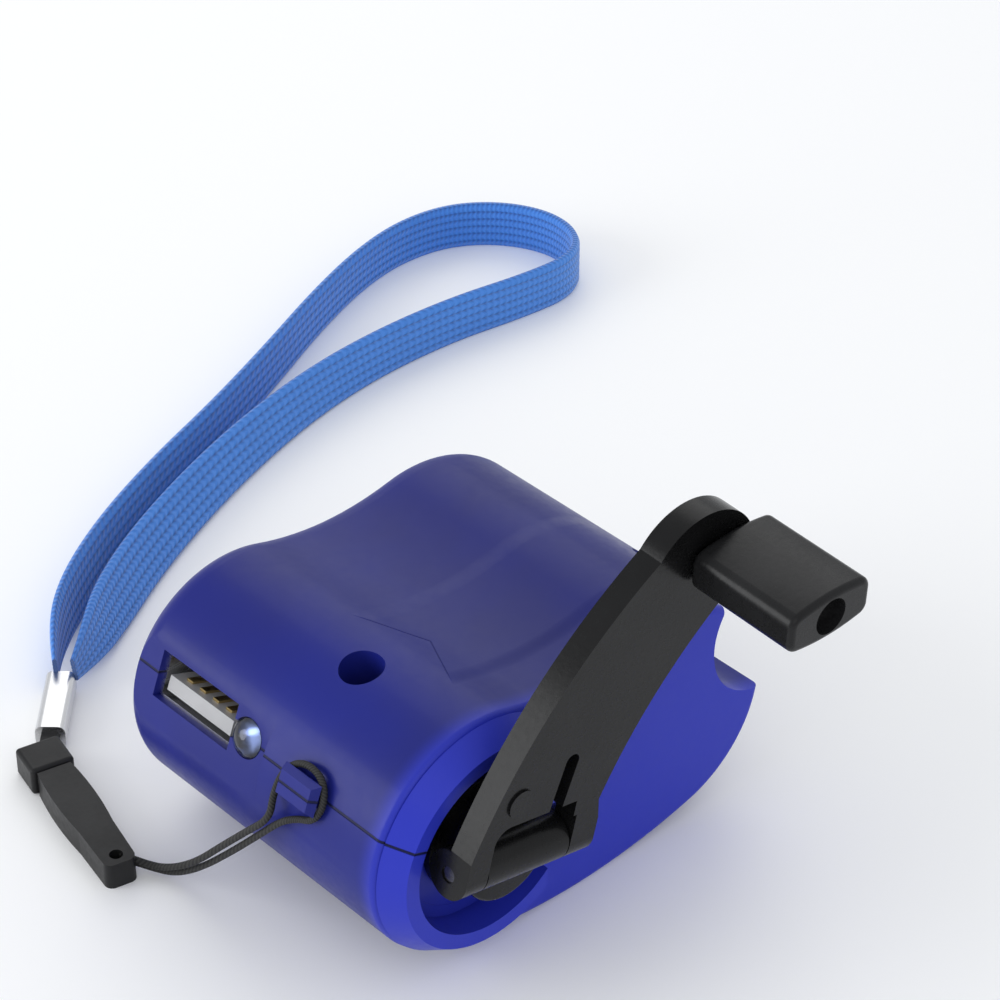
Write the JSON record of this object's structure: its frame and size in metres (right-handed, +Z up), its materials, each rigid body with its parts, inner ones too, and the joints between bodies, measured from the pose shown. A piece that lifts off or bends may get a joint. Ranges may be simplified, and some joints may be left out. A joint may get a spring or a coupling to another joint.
{
  "type": "hand crank phone charger",
  "caption": "Pocket hand crank generator: two-shell case, folding crank with turning knob, gear train, motor, power socket, lamp and wrist strap.",
  "frame": {"origin": "middle of the flat strip under the case, where it stands on the table", "axes": "+X to the rear, away from the socket; +Y from the crank side to the far side, along the crank axis; +Z up"},
  "size_m": [0.1319, 0.1402, 0.053],
  "materials": {
    "case_blue": "slightly translucent dark blue, fine satin",
    "nylon_white": "natural nylon",
    "brass": "turned",
    "steel": "bright, brushed",
    "plate_steel": "zinc plated sheet",
    "motor_steel": "drawn can",
    "black_plastic": "satin black",
    "knob_plastic": "satin black with polished corners",
    "tinned": "tinned",
    "white_plastic": "moulded white",
    "clear_lamp": "clear epoxy",
    "board_green": "solder mask",
    "capacitor_sleeve": "shrink sleeve",
    "clip_plastic": "matt black",
    "strap_weave": "ribbed blue weave",
    "string_black": "braided cord"
  },
  "bodies": {
    "case": {"upper_shell": "case_blue", "lower_shell": "case_blue", "usb_contacts": "brass", "crank_bush": "brass", "first_gear_axle": "steel", "second_gear_axle": "steel", "usb_shell": "steel", "lamp_leads": "steel", "case_screw": "steel", "strap_ferrule": "steel", "gear_plate": "plate_steel", "motor_can": "motor_steel", "motor_end_cap": "black_plastic", "regulator_chip": "black_plastic", "rectifier_diodes": "black_plastic", "inductor": "black_plastic", "motor_terminals": "tinned", "usb_tongue": "white_plastic", "lamp": "clear_lamp", "circuit_board": "board_green", "storage_capacitor": "capacitor_sleeve", "clip_socket": "clip_plastic", "clip_tongue": "clip_plastic", "wrist_strap": "strap_weave", "lanyard_string": "string_black"},
    "crank": {"crank_hub": "black_plastic", "crank_gear": "nylon_white", "hub_screw": "steel", "hinge_pin": "steel"},
    "arm": {"crank_arm": "black_plastic", "knob_axle": "steel"},
    "grip": {"knob": "knob_plastic"},
    "first_gear": {"first_reduction_gear": "nylon_white"},
    "second_gear": {"second_reduction_gear": "nylon_white"},
    "rotor": {"motor_shaft": "steel", "motor_pinion": "brass"}
  },
  "joints": [
    {"name": "crank_spin", "type": "hinge", "parent": "case", "child": "crank", "pos_m": [-0.01609, -0.0245, 0.017], "axis": [0, 1, 0], "continuous": true},
    {"name": "arm_fold", "type": "hinge", "parent": "crank", "child": "arm", "pos_m": [-0.01587, -0.027, 0.01808], "axis": [0.9799, 0, -0.1994], "range_deg": [0, 150]},
    {"name": "knob_spin", "type": "hinge", "parent": "arm", "child": "grip", "pos_m": [0.01024, -0.03903, 0.04661], "axis": [-0.0094, -0.9989, -0.0462], "continuous": true},
    {"name": "first_gear_spin", "type": "hinge", "parent": "case", "child": "first_gear", "pos_m": [-0.00373, -0.0155, 0.01043], "axis": [0, 1, 0], "continuous": true},
    {"name": "second_gear_spin", "type": "hinge", "parent": "case", "child": "second_gear", "pos_m": [0.00192, -0.0145, 0.01819], "axis": [0, 1, 0], "continuous": true},
    {"name": "rotor_spin", "type": "hinge", "parent": "case", "child": "rotor", "pos_m": [0.01041, -0.0105, 0.0137], "axis": [0, 1, 0], "continuous": true}
  ],
  "couplings": [
    {"joint": "first_gear_spin", "follows": "crank_spin", "ratio": -3.6667},
    {"joint": "second_gear_spin", "follows": "crank_spin", "ratio": 11},
    {"joint": "rotor_spin", "follows": "crank_spin", "ratio": -33}
  ]
}
